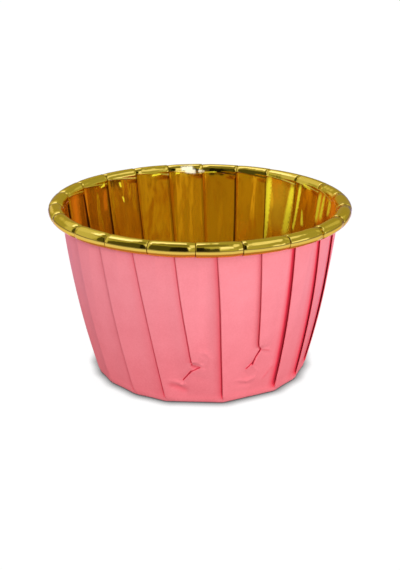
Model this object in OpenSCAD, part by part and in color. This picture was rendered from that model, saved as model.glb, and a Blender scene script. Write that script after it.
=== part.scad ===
// Baking cup pressed from one round sheet of foil lined paper.
// The wall is folded into flat pleats that all lean the same way, and the top of the
// sheet is rolled outwards, so the lined side shows on the rim. Two of the pleats are
// crumpled above the base and have no corner of their own there.
// Sizes are in millimetres. +Z is up, and the origin is the middle of the underside.
// The crumpled pleats are on the -Y side.

/* [Cup] */
// Width over the rolled rim
rim_d = 68; // [56:1:80]
// Width of the base over its corners
base_d = 49.4; // [42:0.2:54]
// Height from the underside to the top of the rim
cup_h = 39; // [30:1:48]
// How far the wall bows out of a straight line halfway up
wall_bow = 0.7; // [0:0.1:1.5]

/* [Rim] */
// How far the rim stands out past the top of the wall
rim_out = 2.8; // [2.3:0.1:3.6]
// Width of the roll, seen in section
roll_w = 2.5; // [2.3:0.1:3]
// Height of the roll, seen in section
roll_h = 3; // [2.6:0.1:3.6]
// Distance from the top of the rim down to the crease where the roll begins
crease_down = 2.4; // [2:0.1:4]
// Angle on the roll's section where the free edge of the sheet ends, below the outside
roll_end = 115; // [80:5:120]

/* [Sheet] */
// Thickness of the sheet
sheet_t = 0.15; // [0.12:0.01:0.22]
// Air between two layers of a pleat
layer_gap = 0.05; // [0.04:0.01:0.1]

/* [Pleats] */
// Number of pleats
pleats = 22; // [16:1:26]
// Share of a pleat's overlap that lies before its corner, the rest lies after it
fold_share = 0.72; // [0.5:0.02:0.8]
// How far the free folds lift off the wall halfway up
fold_lift = 0.4; // [0.1:0.05:0.8]
// Turn of the pleats about the axis, in degrees from the -Y side
pleat_turn = 12.8; // [0:0.1:22]
// How much closer together the rings of points stand at the foot of the wall
foot_detail = 1.25; // [1:0.05:1.5]

/* [Crumples] */
// Height at which the crumpled pleats end
crumple_h = 10; // [8:0.5:14]
// Sideways kink in the end of the first crumpled fold
kink_first = 2.2; // [0:0.1:2.5]
// Sideways kink in the end of the second crumpled fold
kink_second = 0.7; // [0:0.1:2.5]
// How far the kinked ends run back to the other side
kink_back = 1.6; // [0:0.1:2.2]
// Depth of the dent round a crumpled end
dent_depth = 0.7; // [0:0.1:1.2]
// Radius of the dent
dent_r = 4.5; // [3:0.5:7]

/* [Hidden] */

sheet_color = [0.96, 0.52, 0.58];

// Radii and heights that follow from the sizes above
rim_r = rim_d / 2;
base_r = base_d / 2;
neck_r = rim_r - rim_out;
crease_z = cup_h - crease_down;
pitch = 360 / pleats;
roll_mid = [rim_r - roll_w / 2, cup_h - roll_h / 2];

// Step from one layer of a pleat to the next, and the height of the whole stack
layer_step = sheet_t + layer_gap;
stack_t = sheet_t + 2 * layer_step;

// Half the wall of a fold, and the run of flat sheet that is kept beside it
fold_half = sheet_t / 2;
fold_run = 2 * sheet_t;

// Spacing of the points of a pleat where it lies open, as at the base
open_run = 0.6 * sheet_t;

// Rings of points up the wall, then round the roll
wall_rings = 8;
roll_rings = 8;
rings = wall_rings + roll_rings + 2;
roll_from = 150;

// Points of each pleat on either side of the sheet, and of one whole ring
per_pleat = 6;
ring_points = pleats * per_pleat;

// The crumpled pleats stand on either side of pleat 0
crumpled = [pleats - 1, 1];

function clamp01(v) = min(1, max(0, v));
function arc_deg(run, r) = run / r * 180 / PI;
function bump(v, wide) = exp(-v * v / (wide * wide));
function is_crumpled(k) = k == crumpled[0] || k == crumpled[1];
function corner_deg(k) = pleat_turn + k * pitch - 90;

// Share of the way up the wall, 0 at the base and 1 at the crease
function ring_share(i) = pow(min(i, wall_rings) / wall_rings, foot_detail);

// Outside radius of the wall, and the length of sheet from the centre to that height
function wall_r(s) = base_r + (neck_r - base_r) * s + 4 * wall_bow * s * (1 - s);
function sheet_run(s) = base_r + norm([neck_r - base_r, crease_z]) * s;

// Overlap of a pleat: half of what the flat sheet has too much, shared by the pleats
function overlap(s) = PI * max(0, sheet_run(s) - wall_r(s)) / pleats;

// The sheet's lined face in section, as radius, height and the direction to its other
// face: up the wall, out at the crease, then over and round the roll
function wall_slope(s) = [neck_r - base_r + 4 * wall_bow * (1 - 2 * s), crease_z];
function wall_point(s) = [wall_r(s) - stack_t - lift(s) / 2, s * crease_z];
function roll_angle(i) = roll_from - (roll_from + roll_end) * (i - wall_rings - 1) / roll_rings;
function roll_point(a) = roll_mid + [roll_w / 2 * cos(a), roll_h / 2 * sin(a)];
function roll_slope(a) = [roll_w / 2 * sin(a), -roll_h / 2 * cos(a)];
function flare() = roll_point(roll_from) - wall_point(1);
function unit(v) = v / norm(v);
function ring_point(i) = i <= wall_rings ? wall_point(ring_share(i)) : roll_point(roll_angle(i));
function ring_slope(i) =
    i < wall_rings ? unit(wall_slope(ring_share(i)))
    : i == wall_rings ? unit(unit(wall_slope(1)) + unit(flare()))
    : unit(roll_slope(roll_angle(i)));
function ring_normal(i) = [ring_slope(i)[1], -ring_slope(i)[0]];

// Lift of the free folds: none at the base and at the crease
function lift(s) = fold_lift * 4 * s * (1 - s);

// Flat sides: 1 at a corner and less between two corners, for corners one pitch apart
// and for the long sides that pass a crumpled pleat
function side_cut(deg) =
    let (u = (deg - corner_deg(0)) / pitch)
    1 - cos(pitch / 2) / cos((u - floor(u)) * pitch - pitch / 2);
function near_turn(deg) = deg - 360 * round(deg / 360);
function long_cut(deg, k) =
    let (u = near_turn(deg - corner_deg(k)))
    abs(u) < pitch ? 1 - cos(pitch) / cos(u) : 0;
function long_side(deg) = max(long_cut(deg, crumpled[0]), long_cut(deg, crumpled[1]));
function flat_scale(deg, i) =
    let (z = ring_point(i)[1], near_foot = i > wall_rings ? 0 : clamp01(1 - z / (1.6 * crumple_h)))
    let (side = side_cut(deg) * (1 - ring_share(i)))
    1 - max(side, near_foot * long_side(deg));

// A pleat is folded above the base, a crumpled one only from near its end up
function folded(i, k) = i > 0 && (!is_crumpled(k) || ring_point(i)[1] > 0.8 * crumple_h);
function fold_width(i, k) =
    let (s = ring_share(i), z = ring_point(i)[1])
    overlap(s) * (is_crumpled(k) ? clamp01((z - 0.6 * crumple_h) / (0.8 * crumple_h)) : 1);

// Sideways kink in the end of a crumpled fold: one way at its end, and back below it
function kink_size(k) = k == crumpled[0] ? kink_first : kink_second;
function kink(i, k) =
    let (z = ring_point(i)[1])
    is_crumpled(k)
    ? kink_size(k) * bump(z - 0.93 * crumple_h, 0.2 * crumple_h)
        - kink_back * bump(z - 0.5 * crumple_h, 0.25 * crumple_h)
    : 0;

// Dent pressed into the wall round each crumpled end
function dent_at(deg, z, k) =
    let (across = near_turn(deg - corner_deg(k)) * PI / 180 * base_r)
    bump(norm([across, z - 0.7 * crumple_h]), dent_r);
function dent(deg, i) =
    i == 0 || i > wall_rings ? 0
    : dent_depth * max([for (k = crumpled) dent_at(deg, ring_point(i)[1], k)]);

// Run along the wall from corner k to the free fold, and to the fold behind it
function to_front(i, k) = kink(i, k) - fold_share * fold_width(i, k);
function to_back(i, k) = kink(i, k) + (1 - fold_share) * fold_width(i, k);

// Positions of the points of a pleat, as a run along the wall from its corner, in the
// order front fold, front fold, panel start, panel middle, panel end, back fold. The
// middle is placed between its neighbours.
function open_runs(i, k) = [for (m = [-1, 1, 3, -4, -2]) kink(i, k) + m * open_run];
function runs(i, k, outside) =
    !folded(i, k) ? open_runs(i, k)
    : outside
    ? [
        to_front(i, k) - fold_half,
        to_front(i, k) - fold_half,
        to_back(i, k) + fold_run,
        to_front(i, k) - fold_run,
        to_back(i, k) - fold_half
    ]
    : [
        to_back(i, k) + fold_half,
        to_front(i, k) + fold_half,
        to_back(i, k) + fold_run,
        to_front(i, k) - fold_run,
        to_back(i, k) + fold_half
    ];

// Height of each point above the lined face of the lowest layer, in the same order
function levels(i, k, outside) =
    let (head = folded(i, k), up = i > wall_rings ? 0 : lift(ring_share(i)))
    !head ? (outside ? [for (j = [1 : per_pleat]) sheet_t] : [for (j = [1 : per_pleat]) 0])
    : outside
    ? [
        layer_step + up,
        stack_t + up,
        stack_t,
        layer_step + sheet_t,
        sheet_t,
        sheet_t + layer_gap / 2
    ]
    : [
        layer_step + sheet_t,
        layer_step + sheet_t + layer_gap / 2 + up,
        2 * layer_step,
        layer_step,
        0,
        0
    ];

// Turn of point j of pleat k about the axis, in degrees
function point_deg(i, k, j, outside) =
    let (r = i == 0 ? base_r : ring_point(i)[0], next = (k + 1) % pleats)
    j < 3 ? corner_deg(k) + arc_deg(runs(i, k, outside)[j], r)
    : j == 3 ? (point_deg(i, k, 2, outside) + point_deg(i, k, 4, outside)) / 2
    : corner_deg(k + 1) + arc_deg(runs(i, next, outside)[j - 1], r);

// The last point of a pleat belongs to the fold at the next corner
function point_level(i, k, j, outside) =
    j < 5 ? levels(i, k, outside)[j]
    : folded(i, (k + 1) % pleats) ? levels(i, (k + 1) % pleats, outside)[5]
    : outside ? sheet_t : 0;

// All the layers of one fold move in and out together
function fold_deg(i, k) = corner_deg(k) + arc_deg(kink(i, k % pleats), ring_point(i)[0]);

function turned(r, z, deg) = [r * cos(deg), r * sin(deg), z];
function sheet_point(i, k, j, outside) =
    let (deg = point_deg(i, k, j, outside), up = point_level(i, k, j, outside))
    let (shape_deg = j < 3 ? fold_deg(i, k) : j == 3 ? deg : fold_deg(i, k + 1))
    let (p = ring_point(i) + up * ring_normal(i), cut = flat_scale(shape_deg, i))
    i == 0
    ? turned((outside ? base_r : base_r - sheet_t) * cut, outside ? 0 : sheet_t, deg)
    : turned(p[0] * cut - dent(shape_deg, i), p[1], deg);

function side_points(outside) = [
    for (i = [0 : rings - 1], k = [0 : pleats - 1], j = [0 : per_pleat - 1])
        sheet_point(i, k, j, outside)
];

// Numbers of the points: all of the outside, all of the inside, the two centres
function out_at(i, c) = i * ring_points + c % ring_points;
function in_at(i, c) = (rings + i) * ring_points + c % ring_points;
out_mid = 2 * rings * ring_points;
in_mid = out_mid + 1;

// A square of the sheet as two triangles, cut one way or the other
function square_faces(p, one_way) =
    one_way
    ? [[p[0], p[1], p[2]], [p[0], p[2], p[3]]]
    : [[p[0], p[1], p[3]], [p[1], p[2], p[3]]];

// Inside, the layer behind a fold is cut the other way, which keeps it clear of the fold
function out_square(i, c) =
    square_faces([out_at(i, c), out_at(i + 1, c), out_at(i + 1, c + 1), out_at(i, c + 1)], true);
function in_square(i, c) =
    square_faces(
        [in_at(i, c), in_at(i, c + 1), in_at(i + 1, c + 1), in_at(i + 1, c)],
        c % per_pleat > 0
    );
function edge_square(c) =
    square_faces([
        out_at(rings - 1, c),
        in_at(rings - 1, c),
        in_at(rings - 1, c + 1),
        out_at(rings - 1, c + 1)
    ], true);

sheet_faces = concat(
    [for (i = [0 : rings - 2], c = [0 : ring_points - 1]) each out_square(i, c)],
    [for (i = [0 : rings - 2], c = [0 : ring_points - 1]) each in_square(i, c)],
    [for (c = [0 : ring_points - 1]) [out_mid, out_at(0, c), out_at(0, c + 1)]],
    [for (c = [0 : ring_points - 1]) [in_mid, in_at(0, c + 1), in_at(0, c)]],
    [for (c = [0 : ring_points - 1]) each edge_square(c)]
);

// The whole pleated sheet
module liner() {
    color(sheet_color)
        polyhedron(
            points = concat(side_points(true), side_points(false), [[0, 0, 0], [0, 0, sheet_t]]),
            faces = sheet_faces,
            convexity = 8
        );
}

liner();
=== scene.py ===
import bpy
import math
import numpy as np
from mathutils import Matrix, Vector


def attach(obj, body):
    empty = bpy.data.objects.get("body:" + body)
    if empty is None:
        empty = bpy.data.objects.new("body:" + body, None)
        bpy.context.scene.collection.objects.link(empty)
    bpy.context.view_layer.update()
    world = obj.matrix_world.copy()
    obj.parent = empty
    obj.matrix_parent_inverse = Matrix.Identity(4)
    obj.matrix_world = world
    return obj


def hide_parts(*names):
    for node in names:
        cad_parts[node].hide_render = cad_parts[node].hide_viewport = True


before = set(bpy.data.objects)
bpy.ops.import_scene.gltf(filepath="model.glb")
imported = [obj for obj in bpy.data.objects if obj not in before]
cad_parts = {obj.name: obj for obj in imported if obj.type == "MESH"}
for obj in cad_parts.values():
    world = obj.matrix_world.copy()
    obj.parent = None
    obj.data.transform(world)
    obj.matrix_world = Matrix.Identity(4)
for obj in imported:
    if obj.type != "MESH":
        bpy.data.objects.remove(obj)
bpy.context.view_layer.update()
print("frame loaded")

mm = 0.001
rng = np.random.default_rng(22)

# The cup: one round sheet, folded into pleats and rolled at the rim. Sizes in millimetres and degrees. Pleats
# are numbered from the one in front, 0, towards the right.
liner = {
    "pleats": 22,
    "rimRadius": 34.15,
    "baseRadius": 24.75,
    "height": 39.0,
    # the crease under the roll: how far inside the rim and how far below the top
    "rimOverhang": 2.95,
    "creaseDown": 2.8,
    # how far the wall bows out half way up, and the arc at its foot
    "wallBow": 0.75,
    "footRadius": 0.35,
    # slope of the short lip between the crease and the roll
    "flare": 0.13,
    "rollWidth": 3.4,
    "rollHeight": 3.0,
    # angles of the roll's section: where it starts, at the left and at the right of a stretch between two
    # seams, and where it ends
    "rollFrom": (204.0, 166.0),
    "rollTo": -118.0,
    "sheet": 0.1,
    # air between the layers of a pleat, on the wall and in the roll
    "gap": 0.04,
    "rolledGap": 0.01,
    # azimuth of pleat 0: its corner at the base, then its free fold and the seam behind it at the crease
    "baseTurn": 12.8,
    "frontTurn": 6.8,
    "backTurn": 15.15,
    # how far free folds stand off the wall: least and most, and those that are measured
    "lift": (0.2, 0.4),
    "openFolds": {-3: 0.25, -2: 0.3, -1: 0.35, 0: 0.5, 1: 0.35, 2: 0.3, 3: 0.2, 4: 0.2},
    # how far the base lies off the rim's axis, and how much higher the rim stands at the back
    "baseShift": (0.15, -0.45),
    "backRise": 0.3,
    # folds that bow sideways: height, reach and degrees
    "bends": {-1: (11.0, 9.0, 1.1), 0: (13.0, 9.0, -0.4)},
    # crushed folds, and the height at which each of them ends
    "crumpleEnd": {-1: 10.7, 1: 13.3},
    # painted shade in the crevice beside an inner fold: how dark it is
    "innerShade": {
        5: 0.6, 6: 0.7, 7: 0.7, 8: 0.9, 9: 0.25, 10: 0.35, 11: 0.4, 12: 0.75, 13: 0.9, 14: 0.95, 15: 0.9,
    },
    # painted shade close under the folds on the cup's left side, where the gap is seen from its open end
    "underFold": {-6: 0.5, -5: 0.5, -4: 0.55, -3: 0.55, -2: 0.55, -1: 0.4},
    # painted shade in the roll's seams, less where the roll is pressed smooth
    "seamShade": {1: 0.4, 2: 0.15, 3: 0.1, 4: 0.1, 5: 0.1, 6: 0.1, 7: 0.3, 9: 0.3, 14: 0.5, 15: 0.5},
    # how smooth the roll is pressed at its seams, where it isn't crinkled
    "seamSmooth": {1: 0.5, 2: 0.7, 3: 0.9, 4: 0.95, 5: 0.95, 6: 0.9, 7: 0.5, 8: 0.3},
    # inner folds whose edge curls towards the axis, by this much
    "curls": {6: 0.12, 7: 0.12, 8: 0.04, 12: 0.1, 13: 0.15},
    # painted shade on the panel that ends under a fold
    "panelShade": {-4: 0.1, -3: 0.12, -2: 0.15, -1: 0.1, 0: 0.2, 1: 0.1, 2: 0.5, 3: 0.5, 4: 0.6},
    # degrees by which a pleat strays from even spacing: base corner, free fold and rim seam
    "strayBase": {-4: -2.1, -3: 0.6, -2: 2.4, -1: 0.1, 0: -1.6, 1: -1.7, 2: -4.6, 3: -2.0},
    "strayFront": {-4: 0.9, -3: 0.5, -2: 0.0, -1: 0.2, 0: -0.5, 1: 0.3, 2: -0.5, 3: -1.3, 4: -3.0},
    "strayBack": {8: 1.0, -5: -2.0, -4: 0.8, -3: -0.3, -2: -0.4, -1: -0.4, 0: -0.85, 1: 0.3, 2: 0.3},
}

rollRings = 24
foldAngle = 62  # degrees from the middle of a fold's half circle to its first and last column
firstPleat = -6  # the mesh begins at this pleat
pleatNumbers = range(firstPleat, firstPleat + liner["pleats"])
# stretches of the sheet's path round one pleat, and of its path from the base to the roll
freeFold, head, panel, tail, innerFold, between = range(6)
onBase, onFoot, onWall, onFlare, onRoll = range(5)


def ease(x):
    # smooth step from 0 to 1, three x squared less two x cubed
    x = np.clip(x, 0.0, 1.0)
    return x * x * (3 - 2 * x)


def bell(x, wide):
    # bell curve, e to the minus (x over wide) squared
    return np.exp(-(x / wide) ** 2)


def rollEllipse(angle):
    # point of the roll's section at an angle, from its middle: cosine and sine times its half sizes
    return np.stack([np.cos(angle) * liner["rollWidth"] / 2, np.sin(angle) * liner["rollHeight"] / 2], -1)


def meridian():
    # The lined face in section as radius, height and distance along it, with the direction to the outer face:
    # flat base, small arc at the foot, bowed wall, crease, straight flare, then an ellipse round the roll.
    s = liner
    neck = s["rimRadius"] - s["rimOverhang"]
    top = s["height"] - s["creaseDown"]
    foot, sheet = s["footRadius"], s["sheet"]
    stack = sheet * 3 + s["gap"] * 2

    def wallRadius(z):
        # outer radius of the wall: a straight line from base to neck plus a parabola of height wallBow
        u = z / top
        return s["baseRadius"] + (neck - s["baseRadius"]) * u + 4 * s["wallBow"] * u * (1 - u)

    def inset(z):
        # the lined face lies the whole stack of layers inside that, growing from one sheet at the foot
        slack, grown = 0.1, 2.2
        return sheet + (stack - sheet + slack) * ease(z / grown)

    baseRadii = np.array([0.35, 0.62, 0.8, 0.9, 0.955]) * s["baseRadius"]
    base = np.stack([baseRadii, np.full(len(baseRadii), sheet)], 1)
    a = np.radians(np.array([-90, -60, -30, 0]))
    corner = np.stack([s["baseRadius"] - sheet - foot + foot * np.cos(a), sheet + foot + foot * np.sin(a)], 1)
    # heights of the wall's rings, close together where the folds are crushed
    z = np.concatenate([
        np.linspace(sheet + foot + 0.4, 3.1, 5), np.linspace(3.4, 5.9, 9), np.linspace(6.1, 12.9, 35),
        np.linspace(13.2, 14.6, 4), np.linspace(15.7, top - 1.2, 12), top - np.array([0.6, 0.15])])
    wall = np.stack([wallRadius(z) - inset(z), z], 1)
    angles = np.radians(np.linspace(sum(s["rollFrom"]) / 2, s["rollTo"], rollRings))
    middle = np.array([s["rimRadius"] - s["rollWidth"] / 2, s["height"] - s["rollHeight"] / 2])
    roll = middle + rollEllipse(angles)
    edge = wall[-1]
    lipHeight = roll[0][1] - 0.16
    lip = np.array([edge[0] + (lipHeight - edge[1]) * s["flare"], lipHeight])
    tuckedUnder = roll[0] + np.array([-0.1, -0.05])
    flare = np.array([edge + (lip - edge) * 0.5, edge + (lip - edge) * 0.9, lip, tuckedUnder])
    path = np.concatenate([base, corner, wall, flare, roll])
    step = np.gradient(path, axis=0)
    step /= np.linalg.norm(step, axis=1)[:, None]
    normal = np.stack([step[:, 1], -step[:, 0]], 1)
    lengths = np.linalg.norm(np.diff(path, axis=0), axis=1)
    run = path[0, 0] + np.concatenate([[0.0], np.cumsum(lengths)])
    counts = [len(stretch) for stretch in (base, corner, wall, flare, roll)]
    part = np.repeat([onBase, onFoot, onWall, onFlare, onRoll], counts)
    return path, normal, run, part[:, None], angles


def perPleat(values, usual):
    # one value for each pleat in the mesh's order: its own if it has one, else the usual one
    return np.array([values.get(k, usual) for k in pleatNumbers])


def strayed(even, strays, spread):
    # even spacing plus the measured stray of the pleats seen in front, or a small random one
    out = []
    for k in pleatNumbers:
        out.append(even + k * 360 / liner["pleats"] + strays.get(k, rng.uniform(-spread, spread)))
    return np.array(out)


def columnPlan():
    # The columns of one turn: for each pleat the free fold, its head, the panel, the tail, the inner fold and
    # the layer between. shares is the place along the stretch, from 0 to 1, or the angle round a fold. The
    # panels beside a crushed fold have a fine half, and a fold that curls has a column more.
    kinds, shares, owner = [], [], []
    bends = (-foldAngle, 0, foldAngle)
    plain = (0.012, 0.04, 0.2, 0.56, 0.86, 0.98)
    fineRight = np.concatenate([
        [0.012, 0.04, 0.2, 0.38], np.linspace(0.46, 0.68, 7), np.linspace(0.7, 0.985, 18)])
    fineLeft = np.concatenate([np.linspace(0.012, 0.3, 18), np.linspace(0.32, 0.54, 7), [0.68, 0.86, 0.98]])
    for place, k in enumerate(pleatNumbers):
        across = plain
        if k in liner["crumpleEnd"]:
            across = fineLeft
        elif k + 1 in liner["crumpleEnd"]:
            across = fineRight
        under = (0.08, 0.6, 0.88) if k in liner["curls"] else (0.08, 0.6)
        plan = [(freeFold, bend) for bend in bends] + [(head, share) for share in (0.08, 0.9)]
        plan += [(panel, share) for share in across] + [(tail, share) for share in under]
        plan += [(innerFold, bend) for bend in bends] + [(between, 0.5)]
        for kind, share in plan:
            kinds.append(kind)
            shares.append(share)
            owner.append(place)
    return np.array(kinds), np.array(shares, float), np.array(owner)


def crumpleRelief(x, z, k):
    # Creases round the crushed end of a fold: ridges and steps along short lines, and lines of painted shade
    # along them. x is the run to the right of the fold's foot and z the height, both in millimetres. A ridge is
    # a bell across its line, a step a tanh across it, and both fade with a bell past the line's ends; a painted
    # shade line is shaped like a ridge.
    def along(x0, z0, x1, z1):
        # distance across the line and past its ends
        dx, dz = x1 - x0, z1 - z0
        size = math.hypot(dx, dz)
        u = ((x - x0) * dx + (z - z0) * dz) / size
        v = ((z - z0) * dx - (x - x0) * dz) / size
        past = np.maximum(0, np.abs(u - size / 2) - size / 2)
        return v, past

    def ridge(line, high, wide, fade):
        v, past = along(*line)
        return high * bell(v, wide) * bell(past, fade)

    def stepAlong(line, high, wide, reach):
        v, past = along(*line)
        endFade = 0.5
        return high * np.tanh(v / wide) * bell(v, reach) * bell(past, endFade)

    relief, shade = np.zeros_like(x), np.zeros_like(x)
    for form, line, high, wide, more in liner["creases"][k]:
        if form == "ridge":
            relief += ridge(line, high, wide, more)
        elif form == "step":
            relief += stepAlong(line, high, wide, more)
        else:
            shade = np.maximum(shade, ridge(line, high, wide, more))
    return relief, shade


# Each crease: what it is, its line as run and height at both ends, its height, its width, and how far it fades
# past its ends or, for a step, to its sides. A shade is a line of painted shade, and its height is how dark it
# is.
liner["creases"] = {
    # the first end: a small flap pointing right, a hooked crease below it and a soft ridge that curls over it
    -1: [
        ("ridge", (-0.1, 11.4, 2.0, 10.1), 0.15, 0.32, 0.4),
        ("ridge", (-0.2, 9.7, 0.9, 9.4), -0.2, 0.32, 0.3),
        ("step", (-0.4, 8.45, -2.1, 6.2), 0.16, 0.12, 0.7),
        ("ridge", (1.1, 13.8, 2.6, 13.2), 0.1, 0.5, 0.9),
        ("ridge", (2.6, 13.2, 3.7, 11.6), 0.14, 0.5, 0.8),
        ("ridge", (3.7, 11.6, 3.3, 9.0), 0.17, 0.5, 0.9),
        ("ridge", (1.9, 11.2, 2.5, 9.6), -0.12, 0.5, 0.6),
        ("ridge", (-4.2, 5.8, -2.6, 4.9), 0.26, 0.45, 0.5),
        ("ridge", (-2.6, 4.9, -1.9, 5.1), 0.2, 0.4, 0.3),
        ("ridge", (-4.6, 4.5, -1.9, 3.3), -0.24, 0.7, 0.7),
        ("ridge", (0.2, 7.2, 2.4, 6.2), -0.1, 1.2, 1.2),
        ("shade", (-0.3, 10.9, -0.2, 10.1), 0.8, 0.12, 0.1),
        ("shade", (-0.3, 10.1, 1.4, 9.6), 0.6, 0.1, 0.15),
        ("shade", (-0.2, 9.6, 0.7, 9.4), 0.2, 0.4, 0.2),
        ("shade", (1.4, 9.5, -0.4, 8.45), 0.9, 0.11, 0.1),
        ("shade", (-0.4, 8.45, -0.9, 7.8), 1.3, 0.13, 0.1),
        ("shade", (-0.9, 7.8, -2.1, 6.2), 1.1, 0.1, 0.2),
        ("shade", (-4.6, 4.6, -2.2, 3.4), 0.16, 0.7, 0.8),
    ],
    # the second end: one kink to the left, and a curved lip below it
    1: [
        ("step", (0.25, 12.7, -1.2, 9.2), 0.16, 0.12, 0.7),
        ("step", (-1.3, 9.4, -2.5, 8.2), 0.12, 0.12, 0.5),
        ("ridge", (0.6, 12.9, 2.5, 11.8), 0.07, 0.3, 0.6),
        ("ridge", (0.5, 12.3, 2.3, 11.2), -0.07, 0.4, 0.6),
        ("ridge", (-1.2, 8.6, -0.1, 7.6), 0.09, 0.3, 0.5),
        ("ridge", (-4.0, 5.5, -2.0, 4.8), 0.16, 0.4, 0.5),
        ("ridge", (-2.0, 4.8, -0.1, 5.2), 0.16, 0.4, 0.4),
        ("ridge", (-0.1, 5.2, 0.4, 6.8), 0.12, 0.4, 0.6),
        ("ridge", (-3.4, 4.2, -1.0, 3.7), -0.12, 0.5, 0.6),
        ("ridge", (-2.6, 7.4, -1.6, 6.2), -0.12, 0.7, 0.8),
        ("ridge", (4.4, 7.5, 2.4, 4.8), 0.12, 0.5, 1.0),
        ("shade", (-0.35, 13.5, 0.2, 12.7), 1.2, 0.12, 0.1),
        ("shade", (0.2, 12.7, -0.6, 11.1), 1.3, 0.12, 0.1),
        ("shade", (-0.6, 11.1, -1.2, 9.3), 1.2, 0.11, 0.3),
        ("shade", (-1.3, 9.4, -2.5, 8.2), 0.9, 0.09, 0.1),
        ("shade", (0.6, 12.5, 2.3, 11.9), 0.2, 0.15, 0.3),
        ("shade", (4.3, 7.3, 2.5, 4.9), 0.14, 0.3, 0.5),
    ],
}


def wallShares(z, part):
    # Share of the wall's height, 0 at the base and 1 from the crease on, and the pleats' overlap as a share of
    # theirs at the crease: the width of the flat sheet less that of the cup, both counted from 0 at the base.
    s = liner
    top = s["height"] - s["creaseDown"]
    widening = s["rimRadius"] - s["rimOverhang"] - s["baseRadius"]
    slant = math.hypot(widening, top)
    share = np.clip((z - s["sheet"]) / (top - s["sheet"]), 0, 1) * (part > onBase)
    share = np.where(part > onWall, 1.0, share)
    excess = (slant - widening) * share - 4 * s["wallBow"] * share * (1 - share)
    return share, np.clip(excess / (slant - widening), 0, 1)


def foldPlaces(z, part, share, spread):
    # Azimuths of the free folds and of the seams behind them, ring by ring: each leaves the corner at the base
    # and reaches its own place at the crease in step with the overlap. closed goes from 0, where a fold hasn't
    # begun or is crushed, to 1, and lift is how far its edge stands off.
    s = liner
    base = strayed(s["baseTurn"], s["strayBase"], 1.2)
    front = strayed(s["frontTurn"], s["strayFront"], 0.6)
    back = strayed(s["backTurn"], s["strayBack"], 0.6)
    lifts = rng.uniform(*s["lift"], s["pleats"])
    for k, stand in s["openFolds"].items():
        lifts[k - firstPleat] = stand
    ends = perPleat(s["crumpleEnd"], 0.0)
    # a fold begins a little above the base or its crushed end, and its overlap there begins lower than it does
    footStart, footRise = 0.45, 1.3
    endStart, endRise = 0.6, 1.2
    overlapStart, overlapRise = 3.5, 6.0
    closed = np.where(ends > 0, ease((z - ends + endStart) / endRise), 1.0) * ease((z - footStart) / footRise)
    closed = np.where(part > onWall, 1.0, closed * (part > onBase))
    grown = np.where(ends > 0, ease((z - ends + overlapStart) / overlapRise), 1.0)
    belly = np.sin(np.pi * share) ** 0.8
    least = 0.1
    lift = (least + (lifts - least) * belly) * grown * (part == onWall)
    sideways = np.zeros((len(z), s["pleats"]))
    for k, (at, reach, turn) in s["bends"].items():
        sideways[:, k - firstPleat] = turn * bell(z[:, 0] - at, reach)
    middle = 0.5 * (front + back) - base
    follow = np.where(closed > 0, middle * spread * (1 - grown), 0.0) + sideways
    fronts = base + (front - base) * spread * grown + follow
    backs = base + (back - base) * spread * grown + follow
    return base, base + middle * spread, fronts, backs, closed, lift, belly


def foldedPath(kinds, shares, rolled, step, degree, fronts, backs, lifts):
    # Azimuth and level of the columns where pleats are folded, from the folds here and next: free fold and
    # inner fold are half circles as wide as one step between layers, and head, panel, tail and the layer
    # between run straight from one to the other, two steps, two falling to none, none and one step up.
    (frontHere, frontNext), (backHere, backNext), (liftHere, liftNext) = fronts, backs, lifts
    bend = 0.5 * step
    angle = np.radians(shares)
    bottom = liner["sheet"] / 2
    keep = np.where(rolled, 0.1, 0.45) * degree  # flat left beside a fold
    short = 0.97  # the tail stops just short of the inner fold
    headFall = 0.85  # share of the lift that is lost along the head
    stretches = [kinds == kind for kind in (freeFold, head, panel, tail, innerFold, between)]
    azimuth = np.select(stretches, [
        frontHere + degree * bend * (1 - np.cos(angle)),
        frontHere + (backHere - frontHere) * shares + keep * shares,
        backHere + keep + (frontNext - backHere - 2 * keep) * shares,
        frontNext - keep + (backNext - frontNext + keep) * shares * short,
        backNext - degree * bend * (1 - np.cos(angle)),
        backNext + (frontNext - backNext) * shares])
    fall = np.where(rolled, 1 - ease(shares / 0.035), 1 - ease(shares / 0.6))
    level = np.select(stretches, [
        bottom + 1.5 * step + bend * np.sin(angle) + liftHere,
        bottom + 2 * step + liftHere * (1 - shares * headFall),
        bottom + 2 * step * fall + liftHere * (1 - headFall) * (1 - shares) ** 2,
        np.full_like(frontHere, bottom),
        bottom + 0.5 * step + bend * np.sin(angle),
        bottom + step + liftNext * 0.5])
    return azimuth, level


def openPath(kinds, shares, degree, lineHere, lineNext):
    # azimuth of the columns where a fold isn't made: those of the fold lie within a millimetre of its line,
    # and the panel spans what is left
    unrolled = 0.0022 * (shares + foldAngle)
    beside = np.select(
        [kinds == freeFold, kinds == head, kinds == tail, kinds == innerFold, kinds == between],
        [0.05 + unrolled, 0.36 + 0.3 * shares, -0.68 + 0.14 * shares, -0.46 + unrolled, -0.06])
    leftEnd, bothEnds = 0.7, 1.45
    across = lineHere + degree * leftEnd + (lineNext - lineHere - bothEnds * degree) * shares
    return np.where(kinds <= head, lineHere + degree * beside,
                    np.where(kinds == panel, across, lineNext + degree * beside))


def ringNormals(x, level, radius):
    # unit normal of the path in a ring, at right angles to the line between each column's two neighbours
    turnRun = 2 * np.pi * radius
    ahead = np.concatenate([x[:, 1:], x[:, :1] + turnRun], 1)
    behind = np.concatenate([x[:, -1:] - turnRun, x[:, :-1]], 1)
    dx, dy = ahead - behind, np.roll(level, -1, 1) - np.roll(level, 1, 1)
    size = np.hypot(dx, dy)
    return -dy / size, dx / size


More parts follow.
